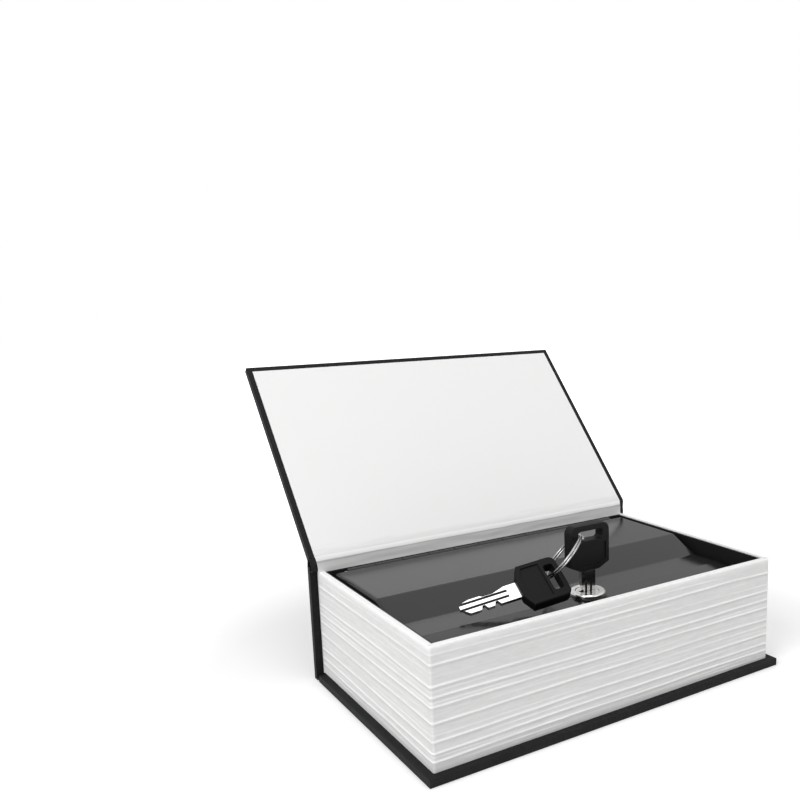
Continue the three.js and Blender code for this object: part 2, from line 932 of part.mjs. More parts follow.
// A moulded bow: bevelled edges, a sunk panel on each face, the ring's slot and a pocket for the tang.
function keyBow() {
  const bevel = 0.5;
  const body = new THREE.ExtrudeGeometry(bowOutline(bevel), {
    depth: bowThickness - 2 * bevel,
    bevelEnabled: true,
    bevelThickness: bevel,
    bevelSize: bevel,
    bevelSegments: 1,
    curveSegments: 5,
  });
  const half = bowThickness / 2;
  const shell = solidOf(body.translate(0, 0, bevel - half));
  const panel = new THREE.Shape();
  const panelHalf = bowWidth / 2 - bowPanelInset;
  const panelLow = bowPanelInset;
  const panelHigh = bowHeight - ringSlotInset - ringSlotHeight - 1.4;
  panel.moveTo(-panelHalf + bowCutAcross * 0.8, panelLow);
  panel.lineTo(panelHalf - bowCutAcross * 0.8, panelLow);
  panel.lineTo(panelHalf, panelLow + bowCutAlong * 0.8);
  panel.lineTo(panelHalf, panelHigh);
  panel.lineTo(-panelHalf, panelHigh);
  panel.lineTo(-panelHalf, panelLow + bowCutAlong * 0.8);
  panel.closePath();
  const sunk = [
    raised(panel, half - bowPanelDepth, half + 1),
    raised(panel, -half - 1, -half + bowPanelDepth),
  ];
  const slot = raised(slotOutline(), -half - 1, half + 1, 4);
  const pocket = block(
    -bladeWidth / 2 - glueGap,
    bladeWidth / 2 + glueGap,
    -1,
    bladeTang + glueGap,
    -bladeThickness / 2 - glueGap,
    bladeThickness / 2 + glueGap,
  );
  return facingFront(cut(shell, ...sunk, slot, pocket));
}

// The split ring lies about its own Z axis: one wire wound nearly twice round.
class RingPath extends THREE.Curve {
  getPoint(share, target = new THREE.Vector3()) {
    const angle = THREE.MathUtils.degToRad(ringStart + share * ringTurns * 360);
    const rise = (share - 0.5) * ringTurns * ringPitch;
    return target.set(ringRadius * Math.cos(angle), ringRadius * Math.sin(angle), rise);
  }
}

function splitRing() {
  const section = new THREE.Shape().absarc(0, 0, ringWire / 2, 0, Math.PI * 2);
  const geometry = new THREE.ExtrudeGeometry(section, {
    steps: Math.round(24 * ringTurns),
    extrudePath: new RingPath(),
    curveSegments: 4,
    bevelEnabled: false,
  });
  return solidOf(geometry);
}

// Front cover, drawn closed, with the cover's turning axis as its own origin

const coverUnder = blockTop + coverRestGap;

function coverBoard() {
  const inset = clothThickness + glueGap;
  return block(
    -halfLength + inset,
    halfLength - inset,
    -halfDepth + inset,
    coverSpineEdge,
    coverUnder + inset,
    bookThickness - inset,
  );
}

function coverCloth() {
  const shell = block(
    -halfLength,
    halfLength,
    -halfDepth,
    coverSpineEdge,
    coverUnder,
    bookThickness,
  );
  const pocket = block(
    -caseInnerX,
    caseInnerX,
    -halfDepth + clothThickness,
    coverSpineEdge + 1,
    coverUnder + clothThickness,
    bookThickness - clothThickness,
  );
  const window = block(
    -halfLength + coverMargin,
    halfLength - coverMargin,
    -halfDepth + coverMargin,
    coverSpineEdge + 1,
    coverUnder - 1,
    coverUnder + clothThickness + 0.1,
  );
  return cut(shell, pocket, window);
}

function coverPastedown() {
  const inset = coverMargin + glueGap;
  return block(
    -halfLength + inset,
    halfLength - inset,
    -halfDepth + inset,
    coverSpineEdge,
    coverUnder,
    coverUnder + clothThickness,
  );
}

// A point of the closed cover carried to where the open cover has it.
function openedPoint(y, z) {
  const turn = -THREE.MathUtils.degToRad(coverOpening);
  const dy = y - coverAxisY;
  const dz = z - coverAxisZ;
  return at(
    coverAxisY + dy * Math.cos(turn) - dz * Math.sin(turn),
    coverAxisZ + dy * Math.sin(turn) + dz * Math.cos(turn),
  );
}

// The cloth that bends between the spine and the cover, as it stands with the cover open.
function jointCloth() {
  const half = clothThickness / 2;
  const board = openedPoint(coverSpineEdge + 0.3, bookThickness - half);
  const path = [
    at(halfDepth - half, spineTop + jointLift),
    at(halfDepth + jointBulge, (spineTop + board.y) / 2),
    board,
  ];
  return alongX(sheetOutline(path, clothThickness), -halfLength, halfLength);
}

// The endpaper from the rear rim, buckled forward, up to the cover.
function jointEndpaper() {
  const half = endpaperThickness / 2;
  const board = openedPoint(coverSpineEdge + 0.35, coverUnder + clothThickness / 2);
  const rim = blockTop + half;
  const reach = blockHalfLength;
  const path = [
    at(blockRear - 0.2, rim),
    at(blockRear - endpaperBuckle * 0.7, rim),
    at(blockRear - endpaperBuckle, rim + endpaperRise * 0.22),
    at(blockRear - endpaperBuckle * 0.9, rim + endpaperRise * 0.56),
    board,
  ];
  return alongX(sheetOutline(path, endpaperThickness), -reach, reach);
}

// Assembly

function group(...pieces) {
  const made = new THREE.Group();
  made.add(...pieces);
  return made;
}

const bookCase = group(
  part("back_board", backBoard(), "greyboard"),
  part("back_cloth", backCloth(), "cloth"),
  part("spine_board", spineBoard(), "liningPaper"),
  part("joint_cloth", jointCloth(), "cloth"),
  part("joint_endpaper", jointEndpaper(), "paper"),
);

const box = group(
  part("page_surround", pageSurround(), "moulding"),
  part("box_tray", boxTray(), "boxPaint"),
  part("strike_bracket", strikeBracket(), "steel"),
  part("box_hinge_leaf", boxHingeLeaf(), "boxPaint"),
  part("hinge_pin", hingePin(), "steel"),
  ...screwPlaces().map((place, index) => part(`box_screw_${index + 1}`, boxScrew(place), "steel")),
);

const lidGroup = group(
  part("lid", lidShell(), "lidPaint"),
  part("lid_hinge_leaf", lidHingeLeaf(), "lidPaint"),
  part("lock_body", lockBody(), "nickel"),
  part("lock_washer", lockWasher(), "steel"),
  part("lock_nut", lockNut(), "nickel"),
  part("lock_plug", lockPlug(), "nickel"),
  part("cam", camLever(), "steel"),
  part("cam_screw", camScrew(), "steel"),
);

const key = group(
  part("key_blade", keyBlade(), "nickel"),
  part("key_bow", keyBow(), "bowPlastic"),
);
key.position.set(lockX, lockY, bowBottom);

const spareKey = group(
  part("spare_blade", keyBlade(), "nickel"),
  part("spare_bow", keyBow(), "bowPlastic"),
);

const coverShift = new THREE.Vector3(0, -coverAxisY, -coverAxisZ);
const coverPieces = group(
  part("cover_board", coverBoard(), "greyboard"),
  part("cover_cloth", coverCloth(), "cloth"),
  part("cover_pastedown", coverPastedown(), "paper"),
);
coverPieces.position.copy(coverShift);
const cover = group(coverPieces);
cover.position.set(0, coverAxisY, coverAxisZ);
cover.rotation.x = -THREE.MathUtils.degToRad(coverOpening);

// The spare key leans on the lid, its blade to the left and its bow held up by the ring
spareKey.rotation.y = Math.PI / 2;
const spare = group(spareKey);
spare.position.copy(key.position).add(spareShift);
spare.rotation.set(
  -THREE.MathUtils.degToRad(spareLean),
  -THREE.MathUtils.degToRad(spareDroop),
  -THREE.MathUtils.degToRad(spareTurn),
  "ZYX",
);

const ring = group(part("split_ring", splitRing(), "nickel"));
ring.position.copy(key.position).add(ringShift);
ring.rotation.set(
  0,
  THREE.MathUtils.degToRad(ringTilt),
  THREE.MathUtils.degToRad(ringHeading),
  "ZYX",
);

const safe = new THREE.Group();
safe.add(bookCase, box, lidGroup, key, spare, ring, cover);

export default safe;
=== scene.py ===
"""A book safe lying open: a cloth case, a page block round a locking steel box, and two keys on a ring."""
import json
import math

import bmesh
import bpy
from mathutils import Matrix, Vector, noise


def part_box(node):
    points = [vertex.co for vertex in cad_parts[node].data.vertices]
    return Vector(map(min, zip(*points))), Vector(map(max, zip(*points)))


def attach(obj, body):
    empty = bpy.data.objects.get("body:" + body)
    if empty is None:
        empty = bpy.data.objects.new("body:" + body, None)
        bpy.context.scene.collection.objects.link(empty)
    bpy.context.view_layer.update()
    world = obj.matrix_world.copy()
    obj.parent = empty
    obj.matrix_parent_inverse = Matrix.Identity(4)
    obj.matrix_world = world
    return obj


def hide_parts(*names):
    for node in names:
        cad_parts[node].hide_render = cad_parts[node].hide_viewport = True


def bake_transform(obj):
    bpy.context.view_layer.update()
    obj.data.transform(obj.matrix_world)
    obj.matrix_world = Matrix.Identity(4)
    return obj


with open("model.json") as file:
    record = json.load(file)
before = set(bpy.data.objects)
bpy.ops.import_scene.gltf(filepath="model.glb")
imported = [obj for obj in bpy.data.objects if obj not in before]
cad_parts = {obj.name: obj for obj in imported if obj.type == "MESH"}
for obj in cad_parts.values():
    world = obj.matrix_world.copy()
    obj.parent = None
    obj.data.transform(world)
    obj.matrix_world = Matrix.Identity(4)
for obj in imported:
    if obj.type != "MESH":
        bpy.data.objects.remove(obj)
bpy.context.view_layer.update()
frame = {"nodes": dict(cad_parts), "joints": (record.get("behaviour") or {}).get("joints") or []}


# Camera
# It stands before the book's front left corner, a hand's breadth above the box, and looks down on the lock.
camera_place = Vector((-217.4, -320.9, 173.3)) / 1000
camera_heading = math.radians(34.17)
camera_dip = math.radians(10.76)
camera_roll = math.radians(-0.97)
picture_side = 800
focal_pixels = 892.9
axis_column = 544.5
axis_row = 459.6

lens = bpy.data.cameras.new("camera")
lens.sensor_width = 36
lens.lens = focal_pixels / picture_side * lens.sensor_width
lens.shift_x = 0.5 - axis_column / picture_side
lens.shift_y = axis_row / picture_side - 0.5
lens.clip_start = 0.01
camera = bpy.data.objects.new("camera", lens)
camera.matrix_world = (
    Matrix.Translation(camera_place)
    @ Matrix.Rotation(-camera_heading, 4, "Z")
    @ Matrix.Rotation(math.pi / 2 - camera_dip, 4, "X")
    @ Matrix.Rotation(camera_roll, 4, "Z")
)
bpy.context.scene.collection.objects.link(camera)
bpy.context.scene.camera = camera


# Case: back board, spine board and the cloth that covers both
# Grey binder's board wrapped in black starched cloth that is glued down and turned in over the board's edges.
# The spine board is lined with black paper. Threads lie 0.5 mm apart, with thicker slubs along and across.
cloth_colour = (0.007, 0.007, 0.0077, 1)
cloth_worn_colour = (0.017, 0.017, 0.018, 1)
board_colour = (0.26, 0.24, 0.21, 1)
board_dark_colour = (0.17, 0.155, 0.135, 1)
thread_pitch = 0.0005
wave_length_at_scale_one = 0.314
thread_height = 0.3
slub_height = 1.6
slubs_along = (40, 1100, 1100)
slubs_across = (1100, 45, 45)
cloth_edge_round = 0.22
sharp_from = math.radians(28)


def finish(name, **sockets):
    """A new material with its shader's sockets set: returns the material, its node tree and the shader."""
    material = bpy.data.materials.new(name)
    material.use_nodes = True
    tree = material.node_tree
    shader = tree.nodes["Principled BSDF"]
    for socket, value in sockets.items():
        shader.inputs[socket.replace("_", " ")].default_value = value
    return material, tree, shader


def node(tree, kind, sockets=None, **settings):
    """A node with its settings made and its sockets set to values or joined to other sockets."""
    made = tree.nodes.new(kind)
    for name, value in settings.items():
        setattr(made, name, value)
    for name, value in (sockets or {}).items():
        if isinstance(value, bpy.types.NodeSocket):
            tree.links.new(value, made.inputs[name])
        else:
            made.inputs[name].default_value = value
    return made


def place_on_piece(tree, turn=0.0, scale=(1, 1, 1)):
    """Object coordinates, turned about X and stretched."""
    where = node(tree, "ShaderNodeTexCoord").outputs["Object"]
    sockets = {"Vector": where, "Rotation": (turn, 0, 0), "Scale": scale}
    return node(tree, "ShaderNodeMapping", sockets).outputs["Vector"]


def grain(tree, where, scale, detail=3.0, roughness=0.55):
    """A cloudy pattern between 0 and 1, finer the higher its scale."""
    sockets = {"Vector": where, "Scale": scale, "Detail": detail, "Roughness": roughness}
    return node(tree, "ShaderNodeTexNoise", sockets).outputs["Fac"]


def combine(tree, first, second, operation="ADD"):
    """Two numbers added, or put together by another operation."""
    return node(tree, "ShaderNodeMath", {0: first, 1: second}, operation=operation).outputs["Value"]


def tint(tree, shader, factor, low, high, start=0.0, end=1.0):
    """Colours the surface from low to high while the factor runs from start to end, and returns the ramp."""
    made = node(tree, "ShaderNodeValToRGB", {"Fac": factor})
    ramp = made.color_ramp
    ramp.elements[0].color = low
    ramp.elements[0].position = start
    ramp.elements[1].color = high
    ramp.elements[1].position = end
    tree.links.new(made.outputs["Color"], shader.inputs["Base Color"])
    return ramp


def raise_surface(tree, shader, height, distance, strength):
    """Bumps the surface where the height is more, by a distance in metres."""
    bump = node(tree, "ShaderNodeBump", {"Height": height, "Distance": distance, "Strength": strength})
    tree.links.new(bump.outputs["Normal"], shader.inputs["Normal"])


def bookcloth(name, turn=0.0):
    """Black cloth: threads along all three axes, of which two show on any face, and thicker slubs."""
    material, tree, shader = finish(name, Roughness=0.68, Specular_IOR_Level=0.2)
    scale = wave_length_at_scale_one / thread_pitch
    thread = {"Vector": place_on_piece(tree, turn), "Scale": scale, "Distortion": 1.2, "Detail Scale": 0.4}
    by_x, by_y, by_z = (
        node(tree, "ShaderNodeTexWave", thread, bands_direction=direction).outputs["Fac"]
        for direction in "XYZ"
    )
    threads = combine(tree, combine(tree, by_x, by_y), by_z)
    along = grain(tree, place_on_piece(tree, turn, slubs_along), scale=1.0)
    across = grain(tree, place_on_piece(tree, turn, slubs_across), scale=1.0)
    slubs = combine(tree, along, across, "MAXIMUM")
    tint(tree, shader, slubs, cloth_colour, cloth_worn_colour, start=0.5, end=0.85)
    raised_threads = combine(tree, threads, thread_height, "MULTIPLY")
    raised_slubs = combine(tree, slubs, slub_height, "MULTIPLY")
    height = combine(tree, raised_threads, raised_slubs)
    raise_surface(tree, shader, height, distance=0.00012, strength=0.6)
    return material


def greyboard():
    """Pressed grey fibres, dull and a little mottled."""
    material, tree, shader = finish("greyboard", Roughness=0.92, Specular_IOR_Level=0.2)
    fibres = grain(tree, place_on_piece(tree), scale=900, detail=5.0, roughness=0.7)
    tint(tree, shader, fibres, board_dark_colour, board_colour, start=0.3, end=0.65)
    raise_surface(tree, shader, fibres, distance=0.0002, strength=0.5)
    return material


def black_lining():
    """Black paper, finer than the board and without a weave."""
    material, tree, shader = finish("black_lining", Roughness=0.85, Specular_IOR_Level=0.2)
    fibres = grain(tree, place_on_piece(tree), scale=1100, detail=5.0, roughness=0.7)
    tint(tree, shader, fibres, cloth_colour, cloth_worn_colour, start=0.3, end=0.8)
    raise_surface(tree, shader, fibres, distance=0.0001, strength=0.4)
    return material


def cleaned(node_name):
    """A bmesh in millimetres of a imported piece, with its flat faces whole."""
    mesh = bmesh.new()
    mesh.from_mesh(frame["nodes"][node_name].data)
    bmesh.ops.transform(mesh, matrix=Matrix.Scale(1000, 4), verts=mesh.verts)
    bmesh.ops.remove_doubles(mesh, verts=mesh.verts, dist=0.002)
    bmesh.ops.dissolve_limit(mesh, angle_limit=math.radians(0.6), verts=mesh.verts, edges=mesh.edges)
    return mesh


def round_over(mesh, geom, offset, segments, affect="EDGES", clamp_overlap=False):
    """Rounds a bmesh's edges, or its corners where affect says vertices."""
    bmesh.ops.bevel(
        mesh,
        geom=geom,
        offset=offset,
        offset_type="OFFSET",
        affect=affect,
        segments=segments,
        profile=0.5,
        material=-1,
        clamp_overlap=clamp_overlap,
    )


def soften(mesh, width):
    """Rounds a bmesh's sharp edges."""
    edges = [edge for edge in mesh.edges if edge.is_manifold and edge.calc_face_angle() > sharp_from]
    round_over(mesh, edges, width, segments=2, clamp_overlap=True)
    return mesh


def softened(node_name, width):
    """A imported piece's bmesh with its sharp edges rounded."""
    return soften(cleaned(node_name), width)


def piece(name, mesh, material, body, smooth=38):
    """A finished piece from a bmesh drawn in millimetres, riding on its body."""
    bmesh.ops.transform(mesh, matrix=Matrix.Scale(0.001, 4), verts=mesh.verts)
    data = bpy.data.meshes.new(name)
    mesh.to_mesh(data)
    mesh.free()
    data.materials.append(material)
    data.shade_smooth()
    data.set_sharp_from_angle(angle=math.radians(smooth))
    made = bpy.data.objects.new(name, data)
    bpy.context.scene.collection.objects.link(made)
    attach(made, body)
    return made


def even_shading(made):
    """Keeps flat faces flat beside rounded edges."""
    weighted = made.modifiers.new("even_shading", "WEIGHTED_NORMAL")
    weighted.keep_sharp = True
    return made


def coat(material, *node_names):
    """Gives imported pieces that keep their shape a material."""
    for name in node_names:
        data = frame["nodes"][name].data
        data.materials.clear()
        data.materials.append(material)


board_finish = greyboard()
cloth_finish = bookcloth("bookcloth")
coat(board_finish, "back_board", "cover_board")
coat(black_lining(), "spine_board")
case_cloth = even_shading(piece("case_cloth", softened("back_cloth", cloth_edge_round), cloth_finish, "case"))
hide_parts("back_cloth")


# Page block
# A moulded surround, off-white and ribbed on three sides like the cut edges of the leaves, glued to the back
# board. Eight ribs stand out all along, and twelve faint ones come and go between them. Its colour carries
# painted highlights on the ribs and along the rim, and painted shade under the ribs.
page_colour = (0.95, 0.95, 0.945, 1)
page_shade_colour = (0.56, 0.56, 0.555, 1)
page_corner = 1.2
page_plain_rear = page_corner * 1.5
page_wall = 2.6
page_rim_round = 0.9
# painted highlight on the rim, which the inside of the wall takes too
rim_painted_highlight = 0.9
page_level_step = 0.25
page_step_along = 2.0
page_relief = 0.34
relief_fades_over = 1.2
ridge_depths = [6.7, 15.1, 19.6, 23.3, 29.0, 36.2, 40.8, 43.8]
ridge_half_width = 0.4
hollow_below_ridge = 1.0
hollow_half_width = 0.5
faint_depths = [3.6, 9.4, 12.3, 17.2, 21.4, 26.4, 32.0, 34.0, 38.4, 42.4, 45.8, 47.2]
faint_share = 0.55
faint_half_width = 0.3
# how pale each place is painted: painted highlights on the ribs and the top band, painted shade under each rib
wall_pale = 0.42
ridge_painted_highlight = 0.58
hollow_painted_shade = 0.22
top_painted_highlight = 0.5
top_half_width = 1.6


def astray(tree, pattern, reach):
    """How far a pattern is from its middle value, times the reach."""
    return combine(tree, combine(tree, pattern, 0.5, "SUBTRACT"), reach, "MULTIPLY")


def page_finish():
    """Off-white, with painted highlights on the proud lines and the rim, and painted shade under the lines."""
    material, tree, shader = finish("page_moulding", Roughness=0.6, Specular_IOR_Level=0.3)
    leaves = grain(tree, place_on_piece(tree, scale=(160, 160, 1100)), scale=1.0, detail=5.0, roughness=0.7)
    # the proud attribute holds the painted highlights and the painted shade
    painted_light = node(tree, "ShaderNodeAttribute", attribute_name="proud", attribute_type="GEOMETRY")
    tone = combine(tree, painted_light.outputs["Fac"], astray(tree, leaves, reach=0.5))
    tint(tree, shader, tone, page_shade_colour, page_colour, start=0.05, end=0.95)
    raise_surface(tree, shader, leaves, distance=0.0002, strength=0.25)
    return material


def ridge(depth, middle, height, half_width):
    """How high a rounded ridge is at a depth, when its middle lies at another."""
    return height * math.exp(-(((depth - middle) / half_width) ** 2))


def wander(along, reach, length, row, seed):
    """A smooth stray to either side that changes over about a length along the wall, and from row to row."""
    return reach * noise.noise((along / length, row, seed))


def leaf_relief(depth, along):
    """How far the leaves' edge stands proud at a depth below the rim, at a distance along the wall, and how
    pale it is painted there: painted highlight on the ridges and the top, painted shade under the ridges."""
    proud = 0
    hollow = 0
    for index, middle in enumerate(ridge_depths):
        slow = wander(along, reach=0.7, length=48, row=index * 3.7, seed=0.5)
        quick = wander(along, reach=0.1, length=9, row=index * 8.3, seed=2.5)
        swell = min(1, 0.85 + wander(along, reach=0.4, length=30, row=index * 5.1, seed=4.5))
        place = middle + (slow + quick)
        proud = max(proud, ridge(depth, place, page_relief * swell, ridge_half_width))
        hollow = max(hollow, ridge(depth, place + hollow_below_ridge, swell, hollow_half_width))
    for index, middle in enumerate(faint_depths):
        place = middle + wander(along, reach=0.8, length=58, row=index * 2.9, seed=8.5)
        shown = min(1, max(0, 0.35 + wander(along, reach=1.5, length=40, row=index * 6.3, seed=12.5)))
        proud = max(proud, ridge(depth, place, page_relief * faint_share * shown, faint_half_width))
    fine = wander(along, reach=0.03, length=24, row=depth * 1.9, seed=20.5)
    pale = wall_pale + ridge_painted_highlight * proud / page_relief - hollow_painted_shade * hollow + fine
    pale += ridge(depth, 0, top_painted_highlight, top_half_width)
    return min(page_relief, proud + fine), min(1, max(0, pale))


def drawn_out(mesh, edges):
    """Extrudes edges, and returns the new vertices and the new edges between them."""
    made = bmesh.ops.extrude_edge_only(mesh, edges=edges)["geom"]
    new_verts = [item for item in made if isinstance(item, bmesh.types.BMVert)]
    new_edges = [item for item in made if isinstance(item, bmesh.types.BMEdge)]
    return new_verts, new_edges


def page_foot(mesh, low, high):
    """The block's outline on the back board, cut into short steps and rounded at its corners."""
    spots = [(low.x, low.y), (high.x, low.y), (high.x, high.y), (low.x, high.y)]
    corners = [mesh.verts.new((x, y, low.z)) for x, y in spots]
    sides = [mesh.edges.new(pair) for pair in zip(corners, corners[1:] + corners[:1])]
    width, depth = high.x - low.x, high.y - low.y
    for side, length in zip(sides, (width, depth, width, depth)):
        bmesh.ops.subdivide_edges(mesh, edges=[side], cuts=int(length / page_step_along))
    ends = [vert for vert in mesh.verts if vert.co.x in (low.x, high.x) and vert.co.y in (low.y, high.y)]
    round_over(mesh, ends, page_corner, segments=5, affect="VERTICES")
    return list(mesh.edges)


def page_walls(mesh, loop, rise):
    """Raises the foot to the rim level by level, and returns the rim's edges."""
    levels = int(rise / page_level_step)
    for _ in range(levels):
        verts, loop = drawn_out(mesh, loop)
        bmesh.ops.translate(mesh, verts=verts, vec=(0, 0, rise / levels))
    return loop


def carve_leaves(mesh, painted_light, low, high):
    """Sinks the front and the two ends round the proud edges of the leaves, and rounds their rim."""
    middle = Vector(((low.x + high.x) / 2, (low.y + high.y) / 2))
    half_width, half_depth = (high.x - low.x) / 2, (high.y - low.y) / 2
    for vert in mesh.verts:
        x, y = vert.co.x - middle.x, vert.co.y - middle.y
        at_side, at_front, at_rear = half_width - abs(x), y + half_depth, half_depth - y
        if at_rear < page_plain_rear:
            continue
        below_rim = high.z - vert.co.z
        along = x if at_front < at_side else math.copysign(half_width, x) + math.copysign(at_front, x)
        # the painted light of this place: highlight on ridges and rim, shade under ridges
        proud, vert[painted_light] = leaf_relief(below_rim, along)
        near_rim = min(1, max(0, 1 - below_rim / page_rim_round))
        inward = (page_relief - proud) * min(1, below_rim / relief_fades_over)
        inward += page_rim_round * (1 - math.sqrt(1 - near_rim * near_rim))
        outward_x = math.copysign(1, x) if at_side < page_corner else 0
        outward_y = -1 if at_front < page_corner else 0
        vert.co -= Vector((outward_x, outward_y, 0)).normalized() * inward


def page_inside(mesh, painted_light, loop, low, high):
    """Draws the rim in over the wall and then down inside it, and returns the inner foot's edges."""
    for drop in (0, low.z - high.z):
        verts, loop = drawn_out(mesh, loop)
        for vert in verts:
            # the rim drawn in and the inside of the wall take the rim's painted highlight
            vert[painted_light] = rim_painted_highlight
            vert.co.x = max(low.x + page_wall, min(high.x - page_wall, vert.co.x))
            vert.co.y = max(low.y + page_wall, min(high.y - page_wall, vert.co.y))
            vert.co.z += drop
    return loop


def page_block():
    """The surround in millimetres, with each place's painted light and shade in the attribute its finish reads.
    """
    low, high = (corner * 1000 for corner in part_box("page_surround"))
    mesh = bmesh.new()
    painted_light = mesh.verts.layers.float.new("proud")
    foot = page_foot(mesh, low, high)
    rim = page_walls(mesh, foot, high.z - low.z)
    carve_leaves(mesh, painted_light, low, high)
    inner_foot = page_inside(mesh, painted_light, rim, low, high)
    bmesh.ops.bridge_loops(mesh, edges=foot + inner_foot)
    bmesh.ops.recalc_face_normals(mesh, faces=mesh.faces)
    return mesh


pages = piece("page_block", page_block(), page_finish(), "case", smooth=60)
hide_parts("page_surround")


# Steel box
# A folded tray in black powder coat, held to the back board by four slotted screws, with a zinc-plated catch
# plate inside its front wall and one leaf of the lid's hinge at the rear.
box_colour = (0.007, 0.007, 0.0073, 1)
zinc_colour = (0.56, 0.56, 0.55, 1)
zinc_dull_colour = (0.4, 0.4, 0.395, 1)
sheet_edge_round = 0.2


def remap(tree, factor, low, high, start=0.0, end=1.0):
    """A number that runs from low to high while the factor runs from start to end."""
    sockets = {"Value": factor, "From Min": start, "From Max": end, "To Min": low, "To Max": high}
    return node(tree, "ShaderNodeMapRange", sockets).outputs["Result"]


def roughen(tree, shader, factor, low, high):
    """Lets the surface's roughness follow a factor between 0 and 1."""
    tree.links.new(remap(tree, factor, low, high), shader.inputs["Roughness"])


def painted_steel(name, colour, roughness, orange_peel, gloss=0.5):
    """Baked paint with a faint ripple, and specks that are a little duller or glossier."""
    material, tree, shader = finish(name, Base_Color=colour, Specular_IOR_Level=gloss)
    where = place_on_piece(tree)
    ripple = grain(tree, where, scale=420, detail=2.0)
    specks = grain(tree, where, scale=2600, detail=2.0)
    roughen(tree, shader, specks, low=roughness * 0.8, high=roughness * 1.25)
    raise_surface(tree, shader, ripple, distance=orange_peel, strength=0.35)
    return material


def zinc_plate():
    """Dull plating with cloudy patches, brushed along X."""
    material, tree, shader = finish("zinc_plate", Metallic=1.0)
    clouds = grain(tree, place_on_piece(tree), scale=260, detail=4.0)
    tint(tree, shader, clouds, zinc_dull_colour, zinc_colour, start=0.35, end=0.65)
    roughen(tree, shader, clouds, low=0.28, high=0.48)
    brushed = grain(tree, place_on_piece(tree, scale=(60, 2400, 2400)), scale=1.0)
    raise_surface(tree, shader, brushed, distance=0.00006, strength=0.3)
    return material


box_paint = painted_steel("box_paint", box_colour, roughness=0.5, orange_peel=0.00004, gloss=0.25)
zinc = zinc_plate()
tray = even_shading(piece("steel_tray", softened("box_tray", sheet_edge_round), box_paint, "case"))
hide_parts("box_tray")
catch = even_shading(piece("cam_catch", softened("strike_bracket", sheet_edge_round), zinc, "case"))
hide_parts("strike_bracket")
coat(zinc, "hinge_pin", "box_screw_1", "box_screw_2", "box_screw_3", "box_screw_4")


# Lid
# One folded steel sheet in black gloss enamel: a raised rear part, a slope, a lower front part and flanges
# round the edge. Its hinge leaf is spot-welded underneath.
lid_colour = (0.014, 0.014, 0.0145, 1)
lid_end_roll = 2
lid_end_within = 0.01
flange_fold = 1.0
face_up = 0.4


def lid_panel():
    """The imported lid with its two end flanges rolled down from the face, its other edges rounded a little."""
    mesh = cleaned("lid")
    reach = max(vert.co.x for vert in mesh.verts)
    rolled = [
        edge
        for edge in mesh.edges
        if all(abs(vert.co.x) > reach - lid_end_within for vert in edge.verts)
        and edge.calc_face_angle() > flange_fold
        and any(face.normal.z > face_up for face in edge.link_faces)
    ]
    round_over(mesh, rolled, lid_end_roll, segments=6)
    return soften(mesh, sheet_edge_round)


lid_paint = painted_steel("lid_paint", lid_colour, roughness=0.16, orange_peel=0.00002)
lid = even_shading(piece("lid_panel", lid_panel(), lid_paint, "lid", smooth=50))
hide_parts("lid")
coat(lid_paint, "lid_hinge_leaf", "box_hinge_leaf")


# Cam lock
# A nickel-plated housing clamped through the lid by a washer and a nut, with a turning plug that carries the
# cam, a zinc-plated lever held by a screw.
nickel_colour = (0.74, 0.735, 0.72, 1)


def nickel_plate(name, colour, roughness):
    """Bright plating, clouded here and there where fingers and keys rub it."""
    material, tree, shader = finish(name, Base_Color=colour, Metallic=1.0)
    where = place_on_piece(tree)
    handling = grain(tree, where, scale=380, detail=5.0, roughness=0.65)
    roughen(tree, shader, handling, low=roughness * 0.5, high=roughness * 1.6)
    raise_surface(tree, shader, grain(tree, where, scale=1500), distance=0.00002, strength=0.25)
    return material


nickel = nickel_plate("nickel_plate", nickel_colour, roughness=0.16)
for node_name, name, edge_round, body in (
    ("lock_body", "lock_housing", 0.22, "lid"),
    ("lock_nut", "clamp_nut", 0.25, "lid"),
    ("lock_plug", "turning_plug", 0.15, "plug"),
):
    made = even_shading(piece(name, softened(node_name, edge_round), nickel, body))
    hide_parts(node_name)
for node_name, name, edge_round, body in (
    ("lock_washer", "clamp_washer", 0.12, "lid"),
    ("cam", "cam_lever", 0.2, "plug"),
):
    made = even_shading(piece(name, softened(node_name, edge_round), zinc, body))
    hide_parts(node_name)
coat(zinc, "cam_screw")


# Keys
# Two alike: a nickel-plated steel blade, cut on both edges, with grooves painted dark as painted shade, moulded
# into a black plastic bow. One stands in the lock, the other hangs beside it on the ring.
bow_colour = (0.0045, 0.0045, 0.005, 1)
# painted shade for the grooves of both blades
groove_painted_shade_colour = (0.02, 0.019, 0.018, 1)
bow_edge_round = 0.35
blade_edge_round = 0.1
blade_face = 0.95
groove_sides = (1.1, 1.9)
groove_inner = 0.75
groove_within = 0.05
key_lie = Matrix.Translation((3, -27.3, 55.65))
spare_lie = (
    Matrix.Translation((-30.77, -25.69, 52.51))
    @ Matrix.Rotation(math.radians(-9.8), 4, "Z")
    @ Matrix.Rotation(math.radians(-8.6), 4, "Y")
    @ Matrix.Rotation(math.radians(-55.5), 4, "X")
    @ Matrix.Rotation(math.pi / 2, 4, "Y")
)


def bow_plastic():
    """Black plastic with a fine eroded grain."""
    material, tree, shader = finish("bow_plastic", Base_Color=bow_colour, Specular_IOR_Level=0.14)
    spark = grain(tree, place_on_piece(tree), scale=3800)
    roughen(tree, shader, spark, low=0.36, high=0.6)
    raise_surface(tree, shader, spark, distance=0.00003, strength=0.4)
    return material


